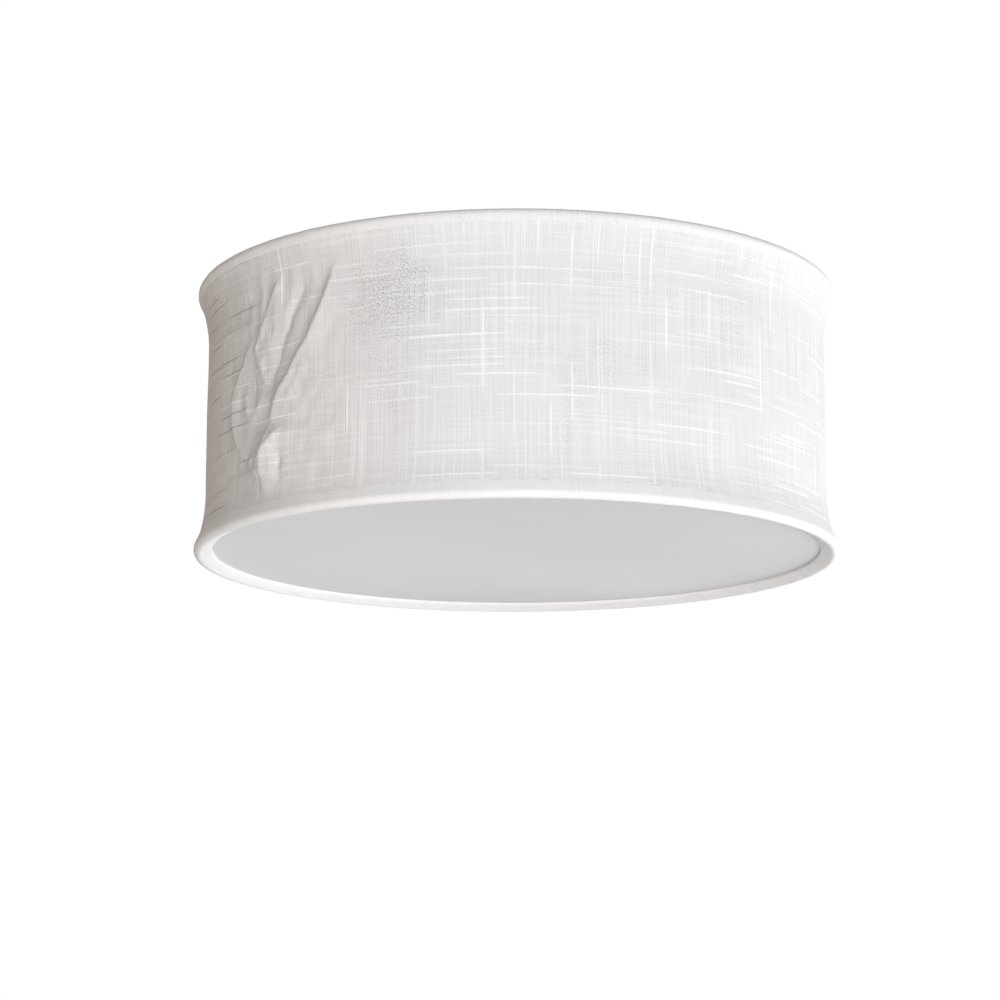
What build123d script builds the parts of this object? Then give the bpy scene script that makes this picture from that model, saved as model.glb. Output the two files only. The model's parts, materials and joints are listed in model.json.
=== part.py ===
"""Flush mount ceiling light: a linen drum shade on a wire frame, held by magnets under a steel
ceiling pan that carries three E27 lamps, with a loose opal diffuser on the shade's bottom ring.

Millimetres, +Z up. The origin is the centre of the pan's ceiling face, and the light hangs below it.
Lamps and struts stand at LAMP_ANGLES, the shade's arms and the ceiling screws halfway between them.
"""

from build123d import *
import os
from math import acos, atan2, cos, degrees, radians, sin, tan

# ---- shade: overall sizes ----
shade_diameter = 450.0  # over the hems
shade_height = 189.2  # over both hems
ceiling_gap = 0.8  # from the ceiling to the top hem
waist_depth = 6.8  # how far the stretched cover draws in between its rings
waist_reach = 36.0  # height over which it does so

# ---- shade: cloth, hems and frame ----
cloth_thickness = 0.5
hem_thickness = 0.7
hem_gap = 0.05  # between the hem and what it covers
top_hem_tail = 7.5  # how far the turned cloth runs down from the ring
bottom_hem_tail = 8.0
ring_wire_radius = 2.5
lip_width = 8.2  # inwards from the ring's middle
lip_thickness = 1.2
lip_rise = 0.5  # from the middle of the bottom ring to the lip's underside
strut_radius = 1.5
strut_cloth_gap = 0.3
strut_joggle_height = 12.0  # the strut's foot runs straight for this, then bends inwards over as much
arm_width = 14.0
arm_thickness = 1.5
arm_tab_height = 5.0  # the turned-up end that locates the shade on its magnet
arm_slope = 12.0  # length over which the arm steps up to the ring

# ---- diffuser ----
diffuser_thickness = 2.5
diffuser_gap = 0.6  # to the cover's waist
diffuser_seat_gap = 0.1
notch_clearance = 0.4  # round each strut

# ---- ceiling pan ----
pan_radius = 150.0
pan_depth = 17.0
pan_sheet = 1.2
pan_bend_radius = 3.0
rib_radius = 128.0  # pressed stiffening rib
rib_width = 12.0
rib_depth = 2.5
screw_circle_radius = 110.0
screw_hole_radius = 2.75
bush_offset = 12.0  # cable entry, along +Y
bush_bore_radius = 5.0
bush_wall = 1.5
bush_flange = 3.0
bush_flange_thickness = 2.0

# ---- magnet catches ----
lug_sheet = 1.5
lug_width = 24.0
lug_drop = 3.0  # from the ceiling to the lug's shelf
lug_leg_length = 11.0
lug_bend_radius = 2.0
magnet_setback = 6.0  # from the pan's rim to the magnet
magnet_radius = 10.0
magnet_height = 6.0
magnet_cup_wall = 1.5
magnet_gap = 0.2  # to the shade's arm
arm_tab_gap = 0.3

# ---- lampholders and lamps, measured outwards from the light's axis ----
lamp_count = 3
lamp_drop = 54.0  # from the ceiling to the lamps' axis
bracket_radius = 36.5
bracket_sheet = 1.5
bracket_width = 34.0
bracket_foot = 26.0
bracket_below_axis = 17.0
bracket_bend_radius = 2.5
wire_opening_radius = 10.0
holder_radius = 20.0
holder_back_radius = 17.5
holder_cap_length = 18.0
holder_skirt_length = 30.0
holder_wall = 2.5
carrier_thickness = 3.0
shell_bore_radius = 13.45
shell_wall = 0.5
shell_length = 22.0
contact_radius = 3.0
contact_height = 2.0
lamp_cap_radius = 13.15  # E27
lamp_cap_length = 23.0
lamp_contact_height = 1.2
lamp_seat_gap = 0.1
lamp_body_length = 37.0
lamp_globe_radius = 30.0
lamp_globe_wall = 1.2
lamp_neck_radius = 14.0
lamp_shell_wall = 0.8  # of the screw cap
lamp_body_wall = 2.0
lamp_board_thickness = 3.0  # heat-sink plate and board that close the body under the globe

# ---- wiring ----
block_width = 30.0
block_length = 16.0
block_height = 12.0
block_offset = -20.0  # along Y
pole_pitch = 9.0
tube_radius = 2.6
tube_bore_radius = 1.9
screw_radius = 1.7
screw_offset = 4.5
lead_radius = 1.1
lead_spread = 5.0  # between a holder's two entries, from its middle
lead_rise = 7.0  # live above the lamp axis, neutral below
lead_turn_radius = 22.0
earth_x = 39.0
earth_y = 22.5
tag_radius = 4.0
tag_thickness = 1.0
rivet_radius = 2.0
rivet_head_radius = 3.6
rivet_head_height = 1.4
hole_clearance = 0.05

# ---- derived places ----
LAMP_ANGLES = [90 + i * 360 / lamp_count for i in range(lamp_count)]
ARM_ANGLES = [angle - 180 / lamp_count for angle in LAMP_ANGLES]
hem_roll_radius = ring_wire_radius + hem_gap + cloth_thickness + hem_gap + hem_thickness
ring_radius = shade_diameter / 2 - hem_roll_radius
lip_inner_radius = ring_radius - lip_width
top_ring_z = -ceiling_gap - hem_roll_radius
bottom_ring_z = -ceiling_gap - shade_height + hem_roll_radius
ring_distance = top_ring_z - bottom_ring_z
cloth_roll_radius = ring_wire_radius + hem_gap + cloth_thickness  # the cover's outside round a ring
leave_angle = 2 * atan2(waist_depth, waist_reach)  # the slope at which the cover leaves a ring
draw_radius = (waist_depth**2 + waist_reach**2) / (2 * waist_depth)  # of the arc that ends upright
wall_radius = ring_radius + cloth_roll_radius * cos(leave_angle) - waist_depth
wall_start = cloth_roll_radius * sin(leave_angle) + waist_reach  # height above the ring
waist_inner_radius = wall_radius - cloth_thickness
strut_circle_radius = waist_inner_radius - strut_cloth_gap - strut_radius
strut_foot_radius = ring_radius - ring_wire_radius - strut_radius
lip_top_z = bottom_ring_z + lip_rise + lip_thickness
diffuser_radius = waist_inner_radius - diffuser_gap
magnet_circle_radius = pan_radius + magnet_setback + magnet_radius
lug_underside_z = -lug_drop - lug_sheet
lug_rivet_z = lug_underside_z - lug_leg_length / 2
arm_pad_z = lug_underside_z - magnet_height - magnet_gap - arm_thickness / 2
arm_ring_z = top_ring_z - ring_wire_radius - arm_thickness / 2
holder_back = bracket_radius + bracket_sheet
holder_joint = holder_back + holder_cap_length
holder_mouth = holder_joint + holder_skirt_length
contact_face = holder_joint + carrier_thickness + contact_height
lamp_start = contact_face + lamp_seat_gap
lamp_neck = lamp_start + lamp_contact_height + lamp_cap_length
lamp_shoulder = lamp_neck + lamp_body_length
bracket_rivet_x = bracket_radius + bracket_foot * 0.55
holder_screw_offset = (holder_back_radius + wire_opening_radius) / 2
bush_radius = bush_bore_radius + bush_wall
poles = [-pole_pitch, 0, pole_pitch]
block_face_y = block_offset + block_length / 2
tube_z = -pan_sheet - block_height / 2
magnet_z = lug_underside_z - magnet_height / 2

os.makedirs("parts", exist_ok=True)


# ---- helpers ----
def turned(outline, axis=Axis.Z):
    """A solid of revolution, from a closed outline of (radius, height) points about Z,
    or of (distance along X, radius) points about X."""
    plane = Plane.XZ if axis == Axis.Z else Plane.XY
    return revolve(plane * make_face(Polyline(*outline, close=True)), axis)


def rod(start, direction, length, radius):
    """A cylinder that starts at a point and runs in a direction."""
    return Plane(origin=start, z_dir=direction) * Cylinder(
        radius, length, align=(Align.CENTER, Align.CENTER, Align.MIN)
    )


def bent(section, points, radii, across=(0, 1, 0)):
    """A section swept along straight runs joined by arcs. Its width lies along across."""
    path = FilletPolyline(*points, radius=radii)
    start = Plane(origin=points[0], x_dir=across, z_dir=Vector(*points[1]) - Vector(*points[0]))
    return sweep(start * section, path)


def round_domed(start, direction, head_radius, head_height):
    """A low domed head whose flat side lies at start."""
    sphere_radius = (head_radius**2 + head_height**2) / (2 * head_height)
    crown = RadiusArc((0, head_height), (head_radius, 0), sphere_radius)
    section = make_face([crown, Line((head_radius, 0), (0, 0)), Line((0, 0), (0, head_height))])
    return Plane(origin=start, z_dir=direction) * revolve(Plane.XZ * section, Axis.Z)


def rivet(start, direction, grip):
    """A rivet: its shank runs back through the grip from the head's flat side at start."""
    back = tuple(-d for d in direction)
    return rod(start, back, grip, rivet_radius) + round_domed(
        start, direction, rivet_head_radius, rivet_head_height
    )


def around(shape, angles, z=0.0):
    """Copies of a shape made on the +X side, turned to each angle."""
    return [Pos(0, 0, z) * Rot(0, 0, angle) * shape for angle in angles]


def save(name, *shapes):
    """Writes one node, from one or more separate solids."""
    solids = [solid for shape in shapes for solid in shape.solids()]
    export_step(solids[0] if len(solids) == 1 else Compound(children=solids), f"parts/{name}.step")
    print(name, len(solids), "solids", round(sum(solid.volume for solid in solids)), "mm3")


# ---- shade frame ----
def make_top_ring():
    return turned_ring(top_ring_z)


def turned_ring(z):
    return Pos(0, 0, z) * Torus(ring_radius, ring_wire_radius)


def make_bottom_ring():
    """The rolled bead and the inner lip that carries the diffuser, in one piece."""
    bead = Pos(ring_radius, 0) * Circle(ring_wire_radius)
    lip = Pos(lip_inner_radius + lip_width / 2, lip_rise + lip_thickness / 2) * Rectangle(
        lip_width, lip_thickness
    )
    return Pos(0, 0, bottom_ring_z) * revolve(Plane.XZ * (bead + lip), Axis.Z)


def make_strut():
    """An upright wire, drawn in from both rings so that the cover passes it freely."""
    top = top_ring_z - hem_gap * 2
    feet = strut_joggle_height
    points = [
        (strut_foot_radius, 0, top),
        (strut_foot_radius, 0, top - feet),
        (strut_circle_radius, 0, top - 2 * feet),
        (strut_circle_radius, 0, lip_top_z + 2 * feet),
        (strut_foot_radius, 0, lip_top_z + feet),
        (strut_foot_radius, 0, lip_top_z),
    ]
    return bent(Circle(strut_radius), points, [feet] * 4)


def make_arm():
    """A strip that joins the top ring to a magnet, with a turned-up end behind the magnet."""
    tab_x = magnet_circle_radius - magnet_radius - arm_tab_gap - arm_thickness / 2
    step_x = magnet_circle_radius + magnet_radius + lug_bend_radius
    points = [
        (tab_x, 0, arm_pad_z + arm_thickness / 2 + arm_tab_height),
        (tab_x, 0, arm_pad_z),
        (step_x, 0, arm_pad_z),
        (step_x + arm_slope, 0, arm_ring_z),
        (ring_radius, 0, arm_ring_z),
    ]
    radii = [arm_thickness, arm_slope / 2, arm_slope / 2]
    return bent(Rectangle(arm_width, arm_thickness), points, radii)


# ---- shade cloth ----
def cover_side(offset):
    """The cover's side, moved outwards by offset: round the bottom ring, drawn in, upright, drawn out
    and round the top ring."""
    roll, draw = cloth_roll_radius + offset, draw_radius - offset
    turn = degrees(leave_angle)
    centre_x, upper_y = wall_radius + draw_radius, ring_distance - wall_start
    low = CenterArc((ring_radius, 0), roll, 0, turn)
    draw_in = CenterArc((centre_x, wall_start), draw, 180 + turn, -turn)
    draw_out = CenterArc((centre_x, upper_y), draw, 180, -turn)
    high = CenterArc((ring_radius, ring_distance), roll, -turn, turn)
    return [low, draw_in, Line(draw_in @ 1, draw_out @ 0), draw_out, high]


def make_cover():
    outside = cover_side(0)
    inside = cover_side(-cloth_thickness)
    ends = [Line(outside[0] @ 0, inside[0] @ 0), Line(outside[-1] @ 1, inside[-1] @ 1)]
    return Pos(0, 0, bottom_ring_z) * revolve(Plane.XZ * make_face(outside + inside + ends), Axis.Z)


def hem_side(start_angle, tail, offset):
    """One side of a hem, moved outwards from the cover by offset: round the ring from an angle, then
    up the cover by the tail's length. The shade's middle lies above the ring."""
    turn, tail_turn = degrees(leave_angle), degrees(tail / draw_radius)
    roll = CenterArc((ring_radius, 0), cloth_roll_radius + offset, start_angle, 360 + turn - start_angle)
    draw_centre = (wall_radius + draw_radius, wall_start)
    return [roll, CenterArc(draw_centre, draw_radius - offset, 180 + turn, -tail_turn)]


def make_hem(sides):
    """Turns the section between a hem's inner and outer side."""
    inner, outer = sides
    ends = [Line(inner[0] @ 0, outer[0] @ 0), Line(inner[-1] @ 1, outer[-1] @ 1)]
    return revolve(Plane.XZ * make_face(inner + outer + ends), Axis.Z)


def make_top_hem():
    """Cloth turned half round the top ring."""
    offsets = (hem_gap, hem_gap + hem_thickness)
    hem = make_hem([hem_side(180, top_hem_tail, offset) for offset in offsets])
    return Pos(0, 0, top_ring_z) * mirror(hem, Plane.XY)


def make_bottom_hem():
    """Cloth that also hides the lip: it starts on the lip's inner edge, runs straight to the ring,
    under it and up the cover."""
    corner = Vector(lip_inner_radius, lip_rise)
    to_ring = Vector(ring_radius, 0) - corner
    lean = degrees(atan2(to_ring.Y, to_ring.X))
    touch = 360 + lean - degrees(acos(-cloth_roll_radius / to_ring.length))
    sides = []
    for offset in (hem_gap, hem_gap + hem_thickness):
        rounded = CenterArc(corner, offset, 180, touch - 180)
        edge = Line((lip_inner_radius - offset, lip_rise + lip_thickness - hem_gap), rounded @ 0)
        around_ring = hem_side(touch, bottom_hem_tail, offset)
        sides.append([edge, rounded, Line(rounded @ 1, around_ring[0] @ 0), *around_ring])
    return Pos(0, 0, bottom_ring_z) * make_hem(sides)


# ---- diffuser ----
def make_diffuser():
    """A flat opal disc with a notch for each strut."""
    disc = Pos(0, 0, lip_top_z + diffuser_seat_gap) * Cylinder(
        diffuser_radius, diffuser_thickness, align=(Align.CENTER, Align.CENTER, Align.MIN)
    )
    notch_radius = strut_radius + notch_clearance
    notch_length = diffuser_radius - strut_circle_radius + notch_radius
    through = 8 * diffuser_thickness
    notch = Cylinder(notch_radius, through) + Pos(notch_length / 2, 0, 0) * Box(
        notch_length, 2 * notch_radius, through
    )
    for cut in around(Pos(strut_circle_radius, 0, 0) * notch, LAMP_ANGLES, lip_top_z):
        disc -= cut
    return disc


# ---- ceiling pan ----
def make_pan():
    """Pressed pan, flat to the ceiling, with a stiffening rib and a rim folded down."""
    half = rib_width / 2
    slope = rib_depth
    upper = [
        (0, 0),
        (rib_radius - half, 0),
        (rib_radius - half + slope, -rib_depth),
        (rib_radius + half - slope, -rib_depth),
        (rib_radius + half, 0),
        (pan_radius - pan_bend_radius, 0),
    ]
    lower = [(r, z - pan_sheet) for r, z in reversed(upper)]
    corner = (pan_radius - pan_bend_radius, -pan_bend_radius)
    inner_bend = pan_bend_radius - pan_sheet
    section = make_face(
        [
            Polyline(*upper),
            CenterArc(corner, pan_bend_radius, 0, 90),
            Line((pan_radius, -pan_bend_radius), (pan_radius, -pan_depth)),
            Line((pan_radius, -pan_depth), (pan_radius - pan_sheet, -pan_depth)),
            Line((pan_radius - pan_sheet, -pan_depth), (pan_radius - pan_sheet, -pan_bend_radius)),
            CenterArc(corner, inner_bend, 0, 90),
            Polyline(*lower),
            Line(lower[-1], upper[0]),
        ]
    )
    pan = revolve(Plane.XZ * section, Axis.Z)
    hole = Cylinder(screw_hole_radius, 4 * pan_sheet)
    for cut in around(Pos(screw_circle_radius, 0, 0) * hole, ARM_ANGLES):
        pan -= cut
    pan -= Pos(0, bush_offset, 0) * Cylinder(bush_radius + hole_clearance, 4 * pan_sheet)
    rivet_hole = Cylinder(rivet_radius + hole_clearance, 4 * pan_sheet)
    for side in (-1, 1):
        place = Pos(bracket_rivet_x, side * bracket_width / 4, 0)
        for cut in around(place * rivet_hole, LAMP_ANGLES):
            pan -= cut
    for x, y in ((earth_x, earth_y), (pole_pitch / 2, block_offset)):
        pan -= Pos(x, y, 0) * rivet_hole
    rim_hole = rod((pan_radius / 2, 0, lug_rivet_z), (1, 0, 0), pan_radius, rivet_radius + hole_clearance)
    for cut in around(rim_hole, ARM_ANGLES):
        pan -= cut
    return pan


def make_bush():
    barrel = Cylinder(bush_radius, pan_sheet, align=(Align.CENTER, Align.CENTER, Align.MAX))
    flange = Pos(0, 0, -pan_sheet) * Cylinder(
        bush_radius + bush_flange, bush_flange_thickness, align=(Align.CENTER, Align.CENTER, Align.MAX)
    )
    rim = flange.edges().group_by(Axis.Z)[0]
    flange = fillet(rim, bush_flange_thickness / 2)
    bore = Cylinder(bush_bore_radius, 4 * bush_flange_thickness)
    return Pos(0, bush_offset, 0) * (barrel + flange - bore)


# ---- magnet catches ----
def make_lug():
    """A bent shelf on the outside of the pan's rim."""
    leg_x = pan_radius + lug_sheet / 2
    shelf_z = -lug_drop - lug_sheet / 2
    end_x = magnet_circle_radius + magnet_radius
    points = [(leg_x, 0, shelf_z - lug_leg_length), (leg_x, 0, shelf_z), (end_x, 0, shelf_z)]
    lug = bent(Rectangle(lug_width, lug_sheet), points, [lug_bend_radius])
    hole_radius = rivet_radius + hole_clearance
    lug -= rod((pan_radius - lug_sheet, 0, lug_rivet_z), (1, 0, 0), 4 * lug_sheet, hole_radius)
    return lug - Pos(magnet_circle_radius, 0, shelf_z) * Cylinder(hole_radius, 2 * lug_sheet)


def make_magnet_cup():
    cup = Cylinder(magnet_radius, magnet_height)
    cup -= Pos(0, 0, -magnet_cup_wall) * Cylinder(magnet_radius - magnet_cup_wall, magnet_height)
    cup -= Cylinder(rivet_radius + hole_clearance, 2 * magnet_height)
    return Pos(magnet_circle_radius, 0, magnet_z) * cup


def make_magnet_core():
    radius = magnet_radius - magnet_cup_wall - hole_clearance
    height = magnet_height - magnet_cup_wall - hole_clearance
    core = Cylinder(radius, height, align=(Align.CENTER, Align.CENTER, Align.MIN))
    core -= Cylinder(rivet_head_radius + hole_clearance, 3 * magnet_height)
    return Pos(magnet_circle_radius, 0, lug_underside_z - magnet_height) * core


def make_magnet_rivet():
    """Its head lies inside the core's hole and holds the cup to the lug."""
    grip = magnet_cup_wall + lug_sheet
    return rivet((magnet_circle_radius, 0, lug_underside_z - magnet_cup_wall), (0, 0, -1), grip)


# ---- lampholders ----
def make_bracket():
    """A bent strip: its foot lies under the pan, its leg carries a lampholder."""
    foot_z = -pan_sheet - bracket_sheet / 2
    leg_x = bracket_radius + bracket_sheet / 2
    points = [
        (bracket_radius + bracket_foot, 0, foot_z),
        (leg_x, 0, foot_z),
        (leg_x, 0, -lamp_drop - bracket_below_axis),
    ]
    bracket = bent(Rectangle(bracket_width, bracket_sheet), points, [bracket_bend_radius])
    bracket -= rod((bracket_radius - 1, 0, -lamp_drop), (1, 0, 0), 4 * bracket_sheet, wire_opening_radius)
    for side in (-1, 1):
        bracket -= Pos(bracket_rivet_x, side * bracket_width / 4, foot_z) * Cylinder(
            rivet_radius + hole_clearance, 2 * bracket_sheet
        )
        screw_start = (bracket_radius - 1, side * holder_screw_offset, -lamp_drop)
        bracket -= rod(screw_start, (1, 0, 0), 4 * bracket_sheet, screw_radius + hole_clearance)
    return bracket


def make_holder_cap():
    """The rear half: a hollow cup, closed at the back but for its wire and screw holes."""
    wall = holder_wall
    cap = turned(
        [
            (holder_back, 0),
            (holder_back, holder_back_radius),
            (holder_joint - wall, holder_radius),
            (holder_joint, holder_radius),
            (holder_joint, holder_radius - wall),
            (holder_back + wall, holder_back_radius - wall),
            (holder_back + wall, 0),
        ],
        Axis.X,
    )
    for side in (-1, 1):
        screw_start = (holder_back - 1, side * holder_screw_offset, 0)
        cap -= rod(screw_start, (1, 0, 0), 2 * wall, screw_radius + hole_clearance)
    return cap


def make_holder_skirt():
    """The front half: a sleeve with a grip ring at its mouth."""
    inner = shell_bore_radius + shell_wall + holder_wall
    ring = holder_wall
    return turned(
        [
            (holder_joint, holder_radius - holder_wall),
            (holder_joint, holder_radius),
            (holder_joint + ring, holder_radius),
            (holder_joint + 2 * ring, holder_radius - holder_wall / 2),
            (holder_mouth - 2 * ring, holder_radius - holder_wall / 2),
            (holder_mouth - ring, holder_radius),
            (holder_mouth, holder_radius - holder_wall / 4),
            (holder_mouth, inner),
            (holder_joint + carrier_thickness, inner),
            (holder_joint + carrier_thickness, holder_radius - holder_wall),
        ],
        Axis.X,
    )


def make_carrier():
    """The insulating disc between cap and skirt, which holds the shell and the contact."""
    radius = holder_radius - holder_wall - hole_clearance
    return rod((holder_joint, 0, 0), (1, 0, 0), carrier_thickness, radius)


def make_shell():
    start = holder_joint + carrier_thickness
    outer = shell_bore_radius + shell_wall
    return rod((start, 0, 0), (1, 0, 0), shell_length, outer) - rod(
        (start, 0, 0), (1, 0, 0), shell_length, shell_bore_radius
    )


def make_contact():
    contact = rod((holder_joint + carrier_thickness, 0, 0), (1, 0, 0), contact_height, contact_radius)
    return fillet(contact.edges().group_by(Axis.X)[-1], contact_height / 4)


def make_holder_screw(side):
    start = (bracket_radius, side * holder_screw_offset, 0)
    shank = rod(start, (1, 0, 0), bracket_sheet + holder_wall, screw_radius)
    return shank + round_domed(start, (-1, 0, 0), 2 * screw_radius, screw_radius)


# ---- lamps ----
def make_lamp_contact():
    return rod((lamp_start, 0, 0), (1, 0, 0), lamp_contact_height, contact_radius)


def make_lamp_cap():
    """The E27 cap: a thin screw shell with an insulated cone behind it."""
    back = lamp_start + lamp_contact_height
    cone = lamp_cap_length / 6
    inner = lamp_cap_radius - lamp_shell_wall
    return turned(
        [
            (back, 0),
            (back, lamp_cap_radius / 2),
            (back + cone, lamp_cap_radius),
            (lamp_neck, lamp_cap_radius),
            (lamp_neck, inner),
            (back + cone, inner),
            (back + cone, 0),
        ],
        Axis.X,
    )


def make_lamp_body():
    """The flared plastic body between cap and globe, closed in front by the board's plate."""
    flare_start = lamp_neck + lamp_body_length / 5
    flare_end = lamp_shoulder - lamp_body_length / 10
    plate = lamp_shoulder - lamp_board_thickness
    inner_neck, inner_rim = lamp_neck_radius - lamp_body_wall, lamp_globe_radius - lamp_body_wall
    outside = FilletPolyline(
        (lamp_neck, lamp_neck_radius),
        (flare_start, lamp_neck_radius),
        (flare_end, lamp_globe_radius),
        (lamp_shoulder, lamp_globe_radius),
        radius=[lamp_neck_radius, lamp_neck_radius / 2],
    )
    inside = Polyline((plate, inner_rim), (flare_start, inner_neck), (lamp_neck, inner_neck))
    front = Polyline(outside @ 1, (lamp_shoulder, 0), (plate, 0), inside @ 0)
    return revolve(make_face([outside, front, inside, Line(inside @ 1, outside @ 0)]), Axis.X)


def make_lamp_globe():
    """A hollow half ball on the body."""
    inner_radius = lamp_globe_radius - lamp_globe_wall
    outer = CenterArc((lamp_shoulder, 0), lamp_globe_radius, 0, 90)
    inner = CenterArc((lamp_shoulder, 0), inner_radius, 0, 90)
    ends = [Line(outer @ 0, inner @ 0), Line(outer @ 1, inner @ 1)]
    return revolve(make_face([outer, inner, *ends]), Axis.X)


# ---- wiring ----
def make_terminal_block():
    """A three-pole block with a ridge over each pole, its tubes' bores and its screw wells."""
    block = Pos(0, 0, -pan_sheet) * Box(
        block_width, block_length, block_height * 0.75, align=(Align.CENTER, Align.CENTER, Align.MAX)
    )
    for x in poles:
        for side in (-1, 1):
            tower = Pos(x, side * screw_offset, -pan_sheet) * Cylinder(
                tube_radius + screw_radius / 2, block_height, align=(Align.CENTER, Align.CENTER, Align.MAX)
            )
            block += tower
    for x in poles:
        block -= rod((x, -block_length, tube_z), (0, 1, 0), 2 * block_length, tube_radius + hole_clearance)
        for side in (-1, 1):
            well = Pos(x, side * screw_offset, tube_z) * Cylinder(
                screw_radius + hole_clearance, block_height, align=(Align.CENTER, Align.CENTER, Align.MAX)
            )
            block -= well
    block -= Pos(pole_pitch / 2, 0, 0) * Cylinder(screw_radius + hole_clearance, 4 * block_height)
    return Pos(0, block_offset, 0) * block


def make_terminal_tubes():
    tube = rod((0, -block_length / 2, tube_z), (0, 1, 0), block_length, tube_radius) - rod(
        (0, -block_length / 2, tube_z), (0, 1, 0), block_length, tube_bore_radius
    )
    return [Pos(x, block_offset, 0) * tube for x in poles]


def make_terminal_screws():
    """Six grub screws, their slotted heads just inside the wells."""
    top = tube_z - tube_radius
    length = block_height / 2 - tube_radius - hole_clearance * 4
    screw = Pos(0, 0, top) * Cylinder(screw_radius, length, align=(Align.CENTER, Align.CENTER, Align.MAX))
    screw -= Pos(0, 0, top - length) * Box(2 * screw_radius, screw_radius / 3, screw_radius / 2)
    return [Pos(x, block_offset + side * screw_offset, 0) * screw for x in poles for side in (-1, 1)]


def make_terminal_fixing():
    """The screw through the block's middle into the pan."""
    head_z = -pan_sheet - block_height * 0.75
    start = (pole_pitch / 2, block_offset, head_z)
    return rod(start, (0, 0, 1), block_height * 0.75 + pan_sheet, screw_radius) + round_domed(
        start, (0, 0, -1), 1.4 * screw_radius, screw_radius / 2
    )


def make_lead(*points):
    """An insulated wire on straight runs, each bend as wide as its runs allow."""
    radii = []
    for before, corner, after in zip(points, points[1:], points[2:]):
        into, out = Vector(*corner) - Vector(*before), Vector(*after) - Vector(*corner)
        half_turn = radians(into.get_angle(out) / 2)
        radii.append(0.45 * min(into.length, out.length) / tan(half_turn))
    print("lead bend radii", [round(radius, 1) for radius in radii])
    return bent(Circle(lead_radius), points, radii, across=None)


def holder_entry(angle, side, rise, radius):
    """A point behind a lampholder: side is +1 towards the next holder anticlockwise."""
    a = radians(angle)
    spread = side * lead_spread
    return (
        radius * cos(a) - spread * sin(a),
        radius * sin(a) + spread * cos(a),
        -lamp_drop + rise,
    )


def make_leads(pole_x, rise):
    """From a pole of the block to the first holder, and on from each holder to the next."""
    first = LAMP_ANGLES[0]
    midway_z = (tube_z - lamp_drop + rise) / 2
    leads = [
        make_lead(
            (pole_x, block_face_y, tube_z),
            (pole_x, block_face_y + 3 * lead_spread / 2, tube_z),
            (lead_spread * 0.8, lead_turn_radius / 2, midway_z),
            holder_entry(first, -1, rise, lead_turn_radius),
            holder_entry(first, -1, rise, holder_back),
        )
    ]
    for here, there in zip(LAMP_ANGLES, LAMP_ANGLES[1:]):
        leads.append(
            make_lead(
                holder_entry(here, 1, rise, holder_back),
                holder_entry(here, 1, rise, lead_turn_radius),
                holder_entry(there, -1, rise, lead_turn_radius),
                holder_entry(there, -1, rise, holder_back),
            )
        )
    return leads


def make_earth_lead():
    end_z = -pan_sheet - tag_thickness - lead_radius
    return make_lead(
        (poles[2], block_face_y, tube_z),
        (poles[2], block_face_y + 2 * lead_spread, tube_z),
        (earth_x / 2, earth_y / 2, (tube_z + end_z) / 2),
        (earth_x * 0.8, earth_y * 0.8, end_z),
    )


def make_earth_tag():
    tag = Pos(earth_x, earth_y, -pan_sheet) * Cylinder(
        tag_radius, tag_thickness, align=(Align.CENTER, Align.CENTER, Align.MAX)
    )
    return tag - Pos(earth_x, earth_y, 0) * Cylinder(rivet_radius + hole_clearance, 8 * tag_thickness)


# ---- write the pieces ----
save("top_ring", make_top_ring())
save("bottom_ring", make_bottom_ring())
save("linen_cover", make_cover())
save("bottom_hem", make_bottom_hem())
save("top_hem", make_top_hem())
save("opal_diffuser", make_diffuser())

save("ceiling_pan", make_pan())
save("cable_bush", make_bush())
save("terminal_block", make_terminal_block())
save("terminal_tubes", *make_terminal_tubes())
save("terminal_screws", *make_terminal_screws())
save("terminal_fixing", make_terminal_fixing())
save("earth_tag", make_earth_tag())
earth_grip = pan_sheet + tag_thickness
save("earth_screw", rivet((earth_x, earth_y, -earth_grip), (0, 0, -1), earth_grip))
save("earth_lead", make_earth_lead())
save("neutral_leads", *make_leads(poles[0], -lead_rise))
save("live_leads", *make_leads(poles[1], lead_rise))

bracket_grip = pan_sheet + bracket_sheet
bracket_rivets = [
    rivet((bracket_rivet_x, side * bracket_width / 4, -bracket_grip), (0, 0, -1), bracket_grip)
    for side in (-1, 1)
]
save("bracket_rivets", *[copy for one in bracket_rivets for copy in around(one, LAMP_ANGLES)])
holder_screws = [make_holder_screw(side) for side in (-1, 1)]
save("holder_screws", *[copy for one in holder_screws for copy in around(one, LAMP_ANGLES, -lamp_drop)])
save("lampholder_carriers", *around(make_carrier(), LAMP_ANGLES, -lamp_drop))
save("lampholder_contacts", *around(make_contact(), LAMP_ANGLES, -lamp_drop))
lug_rivet = rivet((pan_radius + lug_sheet, 0, lug_rivet_z), (1, 0, 0), pan_sheet + lug_sheet)
save("lug_rivets", *around(lug_rivet, ARM_ANGLES))
save("magnet_cups", *around(make_magnet_cup(), ARM_ANGLES))
save("magnet_cores", *around(make_magnet_core(), ARM_ANGLES))
save("magnet_rivets", *around(make_magnet_rivet(), ARM_ANGLES))

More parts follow.
